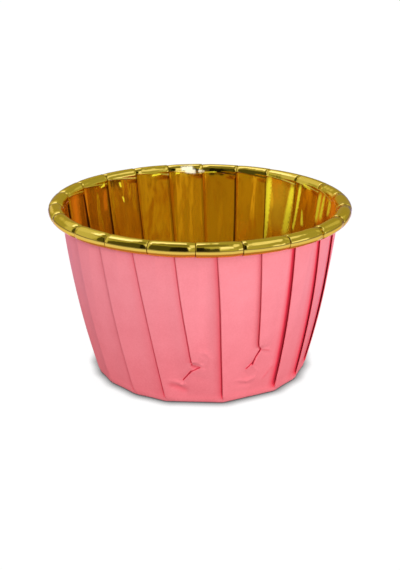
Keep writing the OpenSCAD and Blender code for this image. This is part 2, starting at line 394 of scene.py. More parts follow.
def flatSides(kinds, shares, z, part, share, azimuth, base, halfSide):
    # How much a side cuts off the round ring: one less the cosine of half its angle over the cosine of the
    # angle from its middle. Low down each panel is a side, and past a crushed fold one long side spans two.
    def chord(half, off):
        return 1 - np.cos(np.radians(half)) / np.cos(np.radians(off))

    cut = np.where(kinds == panel, chord(halfSide, (shares - 0.5) * 2 * halfSide), 0.0) * (1 - share) ** 1.3
    longSideTop = 13.0
    near = np.clip(1 - z / longSideTop, 0, 1) * (part < onFlare)
    for k in liner["crumpleEnd"]:
        left, right = base[k - 1 - firstPleat], base[k + 1 - firstPleat]
        half, centre = (right - left) / 2, (right + left) / 2
        cut = np.maximum(cut, near * chord(half, np.minimum(np.abs(azimuth - centre), half)))
    return cut


def rollSag(kinds, part, angles, seam, seamPlace):
    # The crease under the roll hangs low at the left of each stretch between seams and climbs to the right:
    # the roll starts at another angle of its ellipse there, which fades out along it, and the lip below it
    # follows, with a small random pucker. Shifts of radius and height.
    s = liner
    start, end = s["rollFrom"]
    climb = seamPlace * rng.uniform(0.75, 1.1, s["pleats"])[seam] + rng.uniform(-0.08, 0.12, s["pleats"])[seam]
    shift = np.radians(start + (end - start) * np.clip(climb, 0, 1) - (start + end) / 2)
    fadeRings = 7.0
    fade = np.clip(1 - np.arange(rollRings)[:, None] / fadeRings, 0, 1)
    sag = np.zeros((len(part), len(kinds), 2))
    rollRows, flareRows = np.flatnonzero(part == onRoll), np.flatnonzero(part == onFlare)
    sag[rollRows] = rollEllipse(angles[:, None] + shift * fade) - rollEllipse(angles[:, None])
    sag[flareRows] = sag[rollRows[0]] * np.array([0.5, 0.9, 1.0, 1.0])[:, None, None]
    lip = flareRows[:3]
    sag[lip, :, 0] = sag[lip, :, 1] * s["flare"]
    pucker = rng.uniform(-0.06, 0.06, len(kinds)) * (0.3 + bell(seamPlace - 0.05, 0.2))
    sag[lip[1:], :, 0] += np.where(kinds >= panel, pucker, 0)
    sag[lip[1:], :, 1] += np.where(kinds >= panel, np.roll(pucker, 1), 0)
    return sag


def rollCrinkle(part, seam, seamPlace):
    # Level of the roll: six sines of the way round it and of the place between seams, strong just right of a
    # seam, with a dip just left of the next one and a slight bulge or hollow between them.
    n = liner["pleats"]
    bend = np.cumsum(part == onRoll)[:, None] / rollRings
    crinkle = np.zeros((len(part), len(seam)))
    for wave in range(6):
        size = rng.uniform(0.006, 0.014, n)[seam]
        tune = rng.uniform(12, 42, n)[seam]
        skew = rng.uniform(-10, 10, n)[seam]
        crinkle += size * np.sin(tune * bend + skew * seamPlace + rng.uniform(0, 6.28, n)[seam])
    crinkle *= 0.06 + bell(seamPlace - 0.06, 0.13) * rng.uniform(0.3, 1.2, n)[seam]
    bulge = rng.uniform(-0.04, 0.05, n)[seam] * np.sin(np.pi * seamPlace)
    dip, dipFrom = 0.09, 0.85
    crinkle += dip * ease((seamPlace - dipFrom) / (1 - dipFrom)) + bulge
    smooth = perPleat(liner["seamSmooth"], 0.0)
    pressed = np.maximum(smooth[seam], smooth[(seam + 1) % n] * (seamPlace > 0.5))
    return crinkle * (part == onRoll) * (1 - pressed)


def wallSwell(azimuth, share, part):
    # slow swells of the whole wall, sums of sines of azimuth and height, the same for all layers
    turn = np.radians(azimuth)
    swell = np.zeros_like(turn)
    for wave in range(26):
        count = rng.integers(7, 58)
        high = rng.uniform(0.3, 1.0) * 0.45 / count
        swell += high * np.sin(count * turn + rng.uniform(-7, 7) * share + rng.uniform(0, 6.28))
    return swell * np.sin(np.pi * share) ** 0.6 * (part == onWall)


def crushedEnds(kinds, z, part, azimuth, folded, base):
    # relief and painted shade of the crushed ends, laid on the wall by the run from each fold's foot
    wallRadius, reach, outOfReach = 25.6, 9.0, 99.0
    relief, shade = np.zeros_like(azimuth), np.zeros_like(azimuth)
    for k in liner["creases"]:
        run = np.radians(azimuth - base[k - firstPleat]) * wallRadius
        run = np.where(np.abs(run) < reach, run, outOfReach)
        high, dark = crumpleRelief(run, np.broadcast_to(z, run.shape), k)
        relief += high * (part == onWall)
        shade = np.maximum(shade, dark * (part == onWall) * np.where(kinds <= panel, 1, 1 - folded))
    return relief, shade


def foldShades(kinds, shares, owner, z, part, folded, crushPaintedLight):
    # Painted shade where light is lost between the layers. On the pink side: full under a fold, some on the
    # panel
    # just left of one. On the foil: in the crevices beside inner folds, and in the roll's seams.
    nextOne = (owner + 1) % liner["pleats"]
    beside = perPleat(liner["panelShade"], 0.3)[nextOne]
    under = perPleat(liner["underFold"], 0.0)[nextOne]
    full, fading, shadeFrom = 0.82, 0.45, 0.72
    paintedPaperShade = np.select(
        [kinds == freeFold, kinds == head, kinds == panel, kinds == tail],
        [np.where(shares < 0, full, np.where(shares > 0, 0.0, fading)), 0.0,
         beside * ease((shares - shadeFrom) / (1 - shadeFrom)) ** 1.5,
         np.where(shares < 0.5, np.maximum(beside + 0.1, under), full)], 0.8)
    made = ease((folded - 0.3) / 0.5)
    paintedPaperShade = np.where(part == onWall, paintedPaperShade * made * ease(z / 3.0), 0.0)
    paintedCreviceShade = perPleat(liner["innerShade"], 0.4)
    groove = perPleat(liner["seamShade"], 0.8)
    atHead, atPanel, atLayer = kinds == head, (kinds == panel) & (shares < 0.02), kinds == between
    before = owner - 1
    onFolds = np.select([atHead, atPanel, atLayer],
                        [paintedCreviceShade[before], paintedCreviceShade[before] * 0.9, paintedCreviceShade[owner]], 0.0)
    onSeams = np.select([atHead | atPanel, atLayer], [groove[before], groove[owner]], 0.0)
    paintedFoilShade = np.where(part > onWall, onSeams, onFolds * (part == onWall)) * made
    return {"paintedPaperShade": np.clip(np.maximum(paintedPaperShade, crushPaintedLight), 0, 1), "paintedFoilShade": paintedFoilShade}


def linerMesh():
    # Every point is (azimuth, level) on a ring, laid on the meridian: place = meridian point + level times its
    # normal, turned by its azimuth. The outer and the lined face are the path of the sheet's middle, moved
    # half a sheet along its own normal. Arrays are rings by columns.
    s = liner
    n, sheet = s["pleats"], s["sheet"]
    path, normal, run, part, angles = meridian()
    kinds, shares, owner = columnPlan()
    radius, z = path[:, :1], path[:, 1:]
    step = sheet + np.where(part > onWall, s["rolledGap"], s["gap"])
    degree = np.degrees(1 / radius)  # degrees per millimetre
    share, spread = wallShares(z, part)
    base, lines, fronts, backs, closed, lift, belly = foldPlaces(z, part, share, spread)

    # each column lies between the fold of its own pleat and that of the next
    nextOne = (owner + 1) % n
    wrap = np.where(owner + 1 >= n, 360.0, 0.0)
    lineHere, lineNext = lines[:, owner], lines[:, nextOne] + wrap
    foldedAzimuth, foldedLevel = foldedPath(
        kinds, shares, part > onWall, step, degree, (fronts[:, owner], fronts[:, nextOne] + wrap),
        (backs[:, owner], backs[:, nextOne] + wrap), (lift[:, owner], lift[:, nextOne]))
    curl = perPleat(s["curls"], 0.0)[owner] * belly * (part == onWall)
    foldedLevel -= curl * np.select([kinds == tail, kinds == innerFold, kinds == between],
                                    [ease((shares - 0.6) / 0.4), 1.0, 0.6], 0.0)
    openAzimuth = openPath(kinds, shares, degree, lineHere, lineNext)
    here, there = closed[:, owner], closed[:, nextOne]
    folded = np.where(kinds <= head, here, np.where(kinds == panel, here + (there - here) * shares, there))
    azimuth = openAzimuth + (foldedAzimuth - openAzimuth) * folded
    level = sheet / 2 + (foldedLevel - sheet / 2) * folded
    x = np.radians(azimuth) * radius
    nx, ny = ringNormals(x, level, radius)
    cut = flatSides(kinds, shares, z, part, share, azimuth, base, 0.5 * (lineNext - lineHere))

    # the seam at a column's left, and its place from there, 0, to the next seam, 1
    seam = np.where(kinds <= head, owner - 1, owner) % n
    half = 0.5 * shares
    seamPlace = np.select(
        [kinds == freeFold, kinds == head, kinds == panel, kinds == tail, kinds == innerFold],
        [0.5, 0.5 + half, half, 0.5 + half, 1.0], 0.75)
    sag = rollSag(kinds, part[:, 0], angles, seam, seamPlace)
    crinkle = rollCrinkle(part, seam, seamPlace)
    swell = wallSwell(azimuth, share, part)
    relief, crushPaintedLight = crushedEnds(kinds, z, part, azimuth, folded, base)

    faces = []
    for side in (1, -1):
        raised = level + side * ny * sheet / 2 + crinkle
        r = (radius + raised * normal[:, :1]) * (1 - cut) + relief + swell + sag[..., 0]
        h = z + raised * normal[:, 1:] + sag[..., 1]
        if side == 1:
            h[part[:, 0] == onBase] = 0.0
        theta = (x + side * nx * sheet / 2) / radius - np.pi / 2
        h = h + s["backRise"] * (1 + np.sin(theta)) / 2 * (h / s["height"]) ** 2
        shiftX, shiftY = [shift * (1 - share) for shift in s["baseShift"]]
        faces.append(np.stack([r * np.cos(theta) + shiftX, r * np.sin(theta) + shiftY, h], -1) * mm)
    return faces, run, azimuth, foldShades(kinds, shares, owner, z, part, folded, crushPaintedLight)


sheetTurn = 0.3  # UV run for one radian: decimetres, at a radius of 30 mm


def ringQuads(rows, cols):
    # corners of the quads between rings of points, which are numbered ring by ring and closed round the turn
    row, col = np.meshgrid(np.arange(rows - 1), np.arange(cols), indexing="ij")
    beside = (col + 1) % cols
    near, far = row * cols, (row + 1) * cols
    return np.stack([near + col, near + beside, far + beside, far + col], -1).reshape(-1, 4)


def closedShell(name, faces, run, azimuth, shades):
    # Quads over both faces, a fan at each pole and a strip that joins them at the free edge.
    outer, inner = faces
    rows, cols = outer.shape[:2]
    points = np.concatenate([outer.reshape(-1, 3), inner.reshape(-1, 3), [outer[0].mean(0), inner[0].mean(0)]])
    count = rows * cols
    quadsOut = ringQuads(rows, cols)
    quadsIn = quadsOut[:, [0, 3, 2, 1]] + count
    col = np.arange(cols)
    beside = (col + 1) % cols
    last = count - cols
    edge = np.stack([last + col, last + beside, count + last + beside, count + last + col], -1)
    fanOut = np.stack([beside, col, np.full(cols, 2 * count)], -1)
    fanIn = np.stack([count + col, count + beside, np.full(cols, 2 * count + 1)], -1)
    quads, fans = np.concatenate([quadsOut, edge, quadsIn]), np.concatenate([fanOut, fanIn])
    loops = np.concatenate([quads.ravel(), fans.ravel()])
    sizes = np.concatenate([np.full(len(quads), 4), np.full(len(fans), 3)])
    starts = np.concatenate([[0], np.cumsum(sizes)[:-1]])
    # slot 0 is the outer paper, slot 1 the lining and the cut edge
    lined = np.repeat([0, 1, 0, 1], [len(quadsOut), len(edge) + len(quadsIn), cols, cols])
    mesh = bpy.data.meshes.new(name)
    mesh.vertices.add(len(points))
    mesh.vertices.foreach_set("co", points.ravel())
    mesh.loops.add(len(loops))
    mesh.loops.foreach_set("vertex_index", loops.astype(np.int32))
    mesh.polygons.add(len(sizes))
    mesh.polygons.foreach_set("loop_start", starts.astype(np.int32))
    mesh.polygons.foreach_set("loop_total", sizes.astype(np.int32))
    mesh.polygons.foreach_set("material_index", lined.astype(np.int32))
    mesh.update(calc_edges=True)
    mesh.validate()
    mesh.polygons.foreach_set("use_smooth", np.ones(len(mesh.polygons), bool))

    # UV in decimetres: run round the cup and distance along the meridian
    u = np.radians(azimuth) * sheetTurn
    v = np.repeat(run[:, None] * 0.01, cols, 1)
    spots = np.concatenate([np.stack([u, v], -1).reshape(-1, 2)] * 2 + [[[0, 0], [0, 0]]])
    uv = mesh.uv_layers.new(name="sheetRun")
    pick = np.empty(len(mesh.loops), np.int32)
    mesh.loops.foreach_get("vertex_index", pick)
    uv.data.foreach_set("uv", spots[pick].astype(np.float32).ravel())
    for shadeName, shade in shades.items():
        values = mesh.attributes.new(shadeName, "FLOAT", "POINT")
        both = np.concatenate([shade.ravel(), shade.ravel(), [0, 0]])
        values.data.foreach_set("value", both.astype(np.float32))
    piece = bpy.data.objects.new(name, mesh)
    bpy.context.scene.collection.objects.link(piece)
    return piece


liner["piece"] = closedShell("pleatedSheet", *linerMesh())
print("sheet folded:", len(liner["piece"].data.polygons), "faces")


def linear(hexColour):
    # sRGB hex to linear: each channel over 12.92 when dark, else ((c + 0.055) / 1.055) to the power 2.4
    c = np.array([int(hexColour[i:i + 2], 16) for i in (1, 3, 5)]) / 255
    c = np.where(c <= 0.04045, c / 12.92, ((c + 0.055) / 1.055) ** 2.4)
    return (*c, 1.0)


def add(tree, kind, settings=None, **links):
    # Adds a shader node, sets its properties and sockets, and links the sockets given: to the first output of a
    # node, or to another one as (node, output).
    node = tree.nodes.new("ShaderNode" + kind)
    for name, value in (settings or {}).items():
        if isinstance(name, str) and hasattr(node, name):
            setattr(node, name, value)
        else:
            node.inputs[name].default_value = value
    for name, source in links.items():
        key = int(name[1:]) if name[0] == "i" and name[1:].isdigit() else name.replace("_", " ")
        source, output = source if isinstance(source, tuple) else (source, 0)
        tree.links.new(source.outputs[output], node.inputs[key])
    return node


def maths(tree, operation, *terms):
    # a calculation with numbers and outputs as its terms
    numbers = {place: term for place, term in enumerate(terms) if isinstance(term, (int, float))}
    links = {f"i{place}": term for place, term in enumerate(terms) if place not in numbers}
    return add(tree, "Math", {"operation": operation, **numbers}, **links)


def remap(tree, source, begin=0.0, end=1.0, low=0.0, high=1.0, smooth=False):
    # goes from low to high while the source goes from begin to end, in a straight line or a smooth step
    return add(tree, "MapRange", {
        "interpolation_type": "SMOOTHSTEP" if smooth else "LINEAR",
        "From Min": begin, "From Max": end, "To Min": low, "To Max": high}, Value=source)


def newMaterial(name):
    # an empty material and its node tree
    material = bpy.data.materials.new(name)
    material.use_nodes = True
    tree = material.node_tree
    tree.nodes.clear()
    return material, tree


def perMetre(size):
    # noise cells in a metre for a pattern of this size in millimetres
    return 1 / (size * mm)


def perSheet(wide, tall):
    # noise cells in a decimetre round and up the sheet, for a pattern of this width and height in millimetres
    return 100 / wide, 100 / tall, 1.0


paper = {
    # two near shades of the dye for high up and two deeper ones for low down, mixed by height from the fading
    # height to the base: a painted shading that darkens the paper towards the foot
    "high": ("#F68993", "#FB919B"),
    "low": ("#F0757F", "#F67E88"),
    "fadeHeight": 26.0,
    # painted shade under the folds, and the deepest of it
    "paintedFoldShade": "#F0384E",
    "paintedDeepShade": "#74101C",
    # fibre flocks and clouds; the real flocks are finer, and these are as coarse as they need to be to show
    "flock": 0.3846,
    "cloud": 4.5455,
    "fuzz": 0.02,
}


def tintedPaper(name):
    # Dyed baking paper, calendered: matt, with a fine fibre grain that shows as a faint mottle. Painted shading
    # deepens it towards the foot, and painted shade darkens it under and beside the folds.
    material, tree = newMaterial(name)
    place = add(tree, "TexCoord")
    fibre = add(tree, "TexNoise", {"Scale": perMetre(paper["flock"]), "Detail": 3.0},
                Vector=(place, "Object"))
    cloud = add(tree, "TexNoise", {"Scale": perMetre(paper["cloud"]), "Detail": 2.0},
                Vector=(place, "Object"))
    both = add(tree, "Mix", {"data_type": "FLOAT", "Factor": 0.5}, i2=(fibre, "Fac"), i3=(cloud, "Fac"))
    shade = remap(tree, both, 0.35, 0.65)
    height = add(tree, "SeparateXYZ", Vector=(place, "Object"))
    # painted shading: the paper turns deeper from the fading height down to the foot
    paintedFootShade = remap(tree, (height, "Z"), 0.0, paper["fadeHeight"] * mm)
    high, low = [add(tree, "Mix", {"data_type": "RGBA", 6: linear(pair[0]), 7: linear(pair[1])},
                     i0=shade) for pair in (paper["high"], paper["low"])]
    colour = add(tree, "Mix", {"data_type": "RGBA"}, i0=paintedFootShade, i6=(low, 2), i7=(high, 2))
    # painted shade under and beside the folds, read from the mesh's attribute
    paintedPaperShade = add(tree, "Attribute", {"attribute_name": "paintedPaperShade"})
    some = remap(tree, (paintedPaperShade, "Fac"), 0.0, 0.5)
    most = remap(tree, (paintedPaperShade, "Fac"), 0.45)
    for amount, shadow in ((some, "paintedFoldShade"), (most, "paintedDeepShade")):
        colour = add(tree, "Mix", {"data_type": "RGBA", 7: linear(paper[shadow])}, i0=amount,
                     i6=(colour, 2))
    bump = add(tree, "Bump", {"Strength": 0.25, "Distance": paper["fuzz"] * mm}, Height=(fibre, "Fac"))
    shader = add(tree, "BsdfPrincipled", {"Roughness": 0.62, "Specular IOR Level": 0.2},
                 Base_Color=(colour, 2), Normal=bump)
    add(tree, "OutputMaterial", Surface=shader)
    return material


foil = {
    # gold of the mirror on the wall and on the roll, its tint at a glancing view, and its haze
    "wallGold": "#F0CB46",
    "rollGold": "#EFD24C",
    "glancing": "#F6E0B4",
    "hazeGold": "#EFB23C",
    # matt colours over it: the lacquer itself, then painted orange reflections, painted highlight streaks,
    # painted white glints and painted shade in deep crevices
    "lacquer": "#F59A14",
    "paintedReflectionColour": "#FF8A18",
    "paintedStreakColour": "#FFF038",
    "paintedGlintColour": "#FFF9D8",
    "paintedCreviceShade": "#3A1602",
    # heights between which the wall's finish turns into the roll's, and the shares of haze and lacquer on each
    "rollBand": (36.2, 37.6),
    "hazeShare": (0.14, 0.03),
    "lacquerShare": (0.06, 0.0),
    # width and height of the wall's ripples, of slanting wrinkles and of the grain in crushed foil, and the
    # width of dents; ripples and wrinkles fade out between the heights of smoothBase
    "ripple": (2.9412, 7.1429),
    "wrinkle": (0.55556, 2.0833),
    "grain": (0.11111, 0.625),
    "dent": 1.6129,
    "smoothBase": (1.0, 4.0),
    # distance along the meridian, in decimetres, at which the sheet turns over the top of the roll
    "innerEnd": 0.65,
    # radius of the wall where the strips lie
    "wallRadius": 29.126,
    # Strips on the inner side: azimuth and height at one end and at the other, half width at both, strength.
    # These are painted highlights: bright streaks standing in for reflections, with a satin grain.
    "paintedStreaks": [
        (145.4, 38.0, 145.0, 21.0, 0.85, 0.4, 1.6),
        (140.0, 37.5, 139.0, 24.0, 4.0, 3.0, 0.22),
        (131.9, 37.2, 134.0, 24.0, 0.6, 1.0, 1.5),
        (126.6, 37.6, 128.2, 26.4, 0.45, 0.3, 1.6),
        (130.0, 27.4, 127.8, 26.6, 0.5, 0.9, 1.5),
        (125.0, 37.7, 119.5, 37.1, 0.5, 0.3, 1.0),
        (111.0, 37.4, 112.4, 30.0, 0.7, 0.9, 1.2),
        (107.0, 37.6, 108.6, 31.0, 0.5, 0.8, 1.1),
        (100.5, 37.2, 101.5, 33.0, 0.8, 0.5, 0.9),
        (124.0, 31.6, 122.6, 27.6, 0.2, 0.6, 1.2),
        (232.6, 36.6, 229.8, 37.1, 0.2, 0.4, 1.1),
        (220.9, 36.9, 220.4, 35.5, 0.35, 0.25, 1.0),
        (219.9, 33.2, 219.3, 31.6, 0.3, 0.15, 0.9),
        (203.5, 37.3, 199.0, 37.5, 0.3, 0.12, 1.4),
        (191.8, 37.4, 189.6, 37.5, 0.2, 0.2, 1.4),
        (179.0, 37.6, 172.0, 37.7, 0.12, 0.2, 0.8),
    ],
    # painted white glints on the lip, standing in for its brightest highlights
    "paintedGlints": [
        (189.2, 38.5, 183.2, 38.5, 0.5, 0.6, 1.3),
        (187.4, 38.0, 182.0, 37.8, 0.5, 0.62, 1.4),
        (181.0, 37.9, 177.8, 37.8, 0.4, 0.25, 0.9),
    ],
    # painted reflections: the orange of the folds that face them, laid on as a matt colour
    "paintedReflections": [
        (254.0, 38.0, 255.5, 29.0, 2.2, 2.0, 0.5),
        (243.5, 38.0, 244.5, 30.0, 0.6, 0.5, 0.3),
        (229.6, 35.8, 231.0, 30.5, 0.9, 0.8, 0.3),
        (109.0, 38.0, 110.5, 29.4, 2.6, 2.4, 0.7),
        (95.0, 38.6, 93.0, 31.0, 4.2, 3.6, 0.9),
        (157.0, 26.0, 158.0, 20.0, 2.0, 1.5, 0.15),
    ],
}


def strips(tree, places, sheetPlace, height, noise):
    # The strongest of the strips, which mark where painted reflections, highlights and glints lie. Each is full
    # along the line between its ends and falls smoothly to nothing past its half width, which changes evenly
    # from one end to the other, and past its ends; the noise makes its edges ragged. None of them passes the
    # place where the sheet turns over.
    edge, tip = (0.1, 1.5), (0.6, 1.15)  # where it starts and ends to fall, in half widths and half lengths
    ragged = 2.2
    roundTheCup = sheetTurn / (foil["wallRadius"] * mm)
    total = None
    for az0, z0, az1, z1, half0, half1, strength in places:
        upright = abs(z0 - z1) > abs(az0 - az1) / 2
        begin, finish = [(math.radians(az) * sheetTurn, z * mm) for az, z in ((az0, z0), (az1, z1))]
        along, across, unit = (sheetPlace, "X"), (height, "Z"), mm
        if upright:
            begin, finish = begin[::-1], finish[::-1]
            along, across, unit = across, along, mm * roundTheCup
        slope = (finish[1] - begin[1]) / (finish[0] - begin[0])
        foot = begin[1] - slope * begin[0]
        line = maths(tree, "MULTIPLY_ADD", along, slope, foot)
        off = maths(tree, "SUBTRACT", across, line)
        (low, lowHalf), (high, highHalf) = sorted(((begin[0], half0), (finish[0], half1)))
        wide = remap(tree, along, low, high, lowHalf * unit, highHalf * unit)
        off = maths(tree, "DIVIDE", off, wide)
        off = maths(tree, "MULTIPLY_ADD", noise, ragged, off)
        size = maths(tree, "ABSOLUTE", off)
        near = remap(tree, size, *edge, strength, 0.0, smooth=True)
        middle, reach = (low + high) / 2, (high - low) / 2
        part = maths(tree, "SUBTRACT", along, middle)
        part = maths(tree, "ABSOLUTE", part)
        inside = remap(tree, part, reach * tip[0], reach * tip[1], 1.0, 0.0, smooth=True)
        mask = maths(tree, "MULTIPLY", near, inside)
        if total:
            mask = maths(tree, "MAXIMUM", total, mask)
        total = mask
    turnOver = foil["innerEnd"]
    facing = remap(tree, (sheetPlace, "Y"), turnOver, turnOver + 0.004, 1.0, 0.0)
    return maths(tree, "MULTIPLY", total, facing)


def foilRelief(tree, sheet, spot, height):
    # Bumps of the pressed foil, one on the other: tall ripples up the wall, slanting wrinkles and small dents.
    # The first two fade out on the base.
    low, high = foil["smoothBase"]
    tall = add(tree, "Mapping", {"Scale": perSheet(*foil["ripple"])}, Vector=(sheet, "UV"))
    ripples = add(tree, "TexNoise", {"Scale": 1.0, "Detail": 1.3}, Vector=tall)
    slant = add(tree, "Mapping", {"Scale": perSheet(*foil["wrinkle"]), "Rotation": (0, 0, 0.7)},
                Vector=(sheet, "UV"))
    wrinkles = add(tree, "TexNoise", {"Scale": 1.0, "Detail": 4.0}, Vector=slant)
    dents = add(tree, "TexNoise", {"Scale": perMetre(foil["dent"]), "Detail": 3.0}, Vector=(spot, "Object"))
    upright = remap(tree, (height, "Z"), low * mm, high * mm, 0.0, 0.32)
    slanting = maths(tree, "MULTIPLY", upright, 0.3)
    bump = add(tree, "Bump", {"Distance": 0.4 * mm}, Height=(ripples, "Fac"), Strength=upright)
    bump = add(tree, "Bump", {"Distance": 0.1 * mm}, Height=(wrinkles, "Fac"), Normal=bump,
               Strength=slanting)
    return add(tree, "Bump", {"Strength": 0.14, "Distance": 0.06 * mm}, Height=(dents, "Fac"), Normal=bump)


def goldFoil(name):
    # Aluminium foil, lacquered gold and laminated to the paper: a mirror with a little haze from press
    # wrinkles, with painted reflections, painted highlights and painted shade in the crevices between layers
    # laid over it.
    material, tree = newMaterial(name)
    sheet = add(tree, "UVMap", {"uv_map": "sheetRun"})
    spot = add(tree, "TexCoord")
    height = add(tree, "SeparateXYZ", Vector=(spot, "Object"))
    bump = foilRelief(tree, sheet, spot, height)
    low, high = foil["rollBand"]
    rolled, hazy, milky = [
        remap(tree, (height, "Z"), low * mm, high * mm, below, above)
        for below, above in ((0.0, 1.0), foil["hazeShare"], foil["lacquerShare"])]
    wallGold, rollGold = linear(foil["wallGold"]), linear(foil["rollGold"])
    gold = add(tree, "Mix", {"data_type": "RGBA", 6: wallGold, 7: rollGold}, i0=rolled)
    mirror = add(tree, "BsdfPrincipled",
                 {"Metallic": 1.0, "Roughness": 0.08, "Specular Tint": linear(foil["glancing"])},
                 Base_Color=(gold, 2), Normal=bump)
    haze = add(tree, "BsdfPrincipled",
               {"Base Color": linear(foil["hazeGold"]), "Metallic": 1.0, "Roughness": 0.45}, Normal=bump)
    shader = add(tree, "MixShader", i0=hazy, i1=mirror, i2=haze)

    sheetPlace = add(tree, "SeparateXYZ", Vector=(sheet, "UV"))
    grainRun = add(tree, "Mapping", {"Scale": perSheet(*foil["grain"])}, Vector=(sheet, "UV"))
    fine = add(tree, "TexNoise", {"Scale": 1.0, "Detail": 3.0}, Vector=grainRun)
    jag = remap(tree, (fine, "Fac"), 0.0, 1.0, -0.5, 0.5)
    # masks of the painted orange reflections, highlight streaks and white glints
    paintedReflectionMask, crushPaintedLight, pressed = [strips(tree, foil[kind], sheetPlace, height, jag)
                              for kind in ("paintedReflections", "paintedStreaks", "paintedGlints")]
    grain = remap(tree, (fine, "Fac"), 0.36, 0.54, 0.7)
    crushPaintedLight = maths(tree, "MULTIPLY", crushPaintedLight, grain)
    # painted reflections, highlight streaks and white glints go over the mirror as matt colours; the lacquer is
    # the foil's own
    for share, colour in ((milky, "lacquer"), (paintedReflectionMask, "paintedReflectionColour"), (crushPaintedLight, "paintedStreakColour"), (pressed, "paintedGlintColour")):
        matt = add(tree, "BsdfDiffuse", {"Color": linear(foil[colour])}, Normal=bump)
        shader = add(tree, "MixShader", i0=share, i1=shader, i2=matt)
    # painted shade: a dark matt colour in the crevices beside inner folds and in the roll's seams
    paintedFoilShade = add(tree, "Attribute", {"attribute_name": "paintedFoilShade"})
    paintedShadeShader = add(tree, "BsdfDiffuse", {"Color": linear(foil["paintedCreviceShade"])})
    shader = add(tree, "MixShader", i0=(paintedFoilShade, "Fac"), i1=shader, i2=paintedShadeShader)
    add(tree, "OutputMaterial", Surface=shader)
    return material


liner["piece"].data.materials.append(tintedPaper("dyedBakingPaper"))
liner["piece"].data.materials.append(goldFoil("lacqueredGoldFoil"))
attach(liner["piece"], "root")
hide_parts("liner")
print("sheet finished")

# Studio: a white floor and surround, soft lamps, and a painted dome that only the foil sees. Metres, degrees.
studio = {
    "target": (0.0, 0.0, 0.018066),
    "distance": 0.221,
    "elevation": 20.567,
    "lens": 59.54,
    "floorHalf": 4.0,
    "floorDrop": 0.0001,
    # the floor's own white, the little that it takes from the lamps, and how far the contact shadow reaches
    "floorWhite": 0.97,
    "floorTone": 0.05,
    "shadowReach": 0.0024,
    # how strongly the floor lights the cup from below
    "floorLight": 0.34,
    # floor as the foil mirrors it: distance from the cup's axis and tone, its tint, and the tint that the
    # paper throws on it close to the cup
    "floorMirrored": [(0.05, 0.42), (0.062, 0.85), (0.13, 0.85), (0.22, 0.25)],
    "floorTint": (1.0, 0.94, 1.7, 1.0),
    "pinkBounce": (1.0, 0.48, 0.6, 1.0),
    "worldLight": 0.42,
    # lamps: azimuth from the camera and elevation in degrees, power, width in degrees
    "lamps": {
        "keyLamp": (20, 18, 1.5, 10),
        "sideLamp": (75, 20, 0.95, 20),
        "fillLamp": (-45, 22, 0.75, 50),
        "leftLamp": (-112, 24, 0.44, 30),
        "backLamp": (175, 30, 1.3, 50),
    },
    "domeRadius": 1.2,
    "domeColumns": 180,
    "domeRows": 46,
    # the dome's own tone, and its tint where it is dim and where it is bright
    "domeTone": 0.4,
    "domeDim": (1.0, 1.0, 0.6, 1.0),
    "domeBright": (1.0, 1.02, 2.8, 1.0),
    "tintRange": (0.35, 1.5),
    # patches painted on it one over the other: azimuth from and to, elevation from and to, softness of the
    # edge, brightness
    "dome": [
        (-190, -118, 0, 30, 6, 0.42),
        (-180, -112, 28, 66, 7, 0.74),
        (-184, -112, 49, 66, 4, 1.5),
        (-114, -79, 0, 46, 5, 0.62),
        (24, 50, 0, 50, 5, 0.45),
        (50, 128, 48, 70, 6, 1.0),
        (-400, 400, 74, 100, 7, 0.2),
        (-73, -18, -10, 68, 6, 0.08),
        (-22, 12, -10, 66, 5, 0.01),
        (6, 13, -10, 40, 3, 0.05),
        (8, 26, 44, 74, 5, 0.5),
        (14, 24, 18, 44, 3, 0.85),
        (19, 40, 38, 62, 4, 1.3),
        (56, 84, 1, 16, 3, 1.2),
        (123, 144, 16, 36, 3, 0.6),
        (-156, -142, 4, 20, 3, 0.8),
        (97, 107, 7, 16, 3, 0.56),
    ],
}


def aim(azimuth, elevation):
    # unit vector towards a place given by azimuth from the camera's side and elevation
    a, e = math.radians(azimuth), math.radians(elevation)
    return Vector((math.sin(a) * math.cos(e), -math.cos(a) * math.cos(e), math.sin(e)))


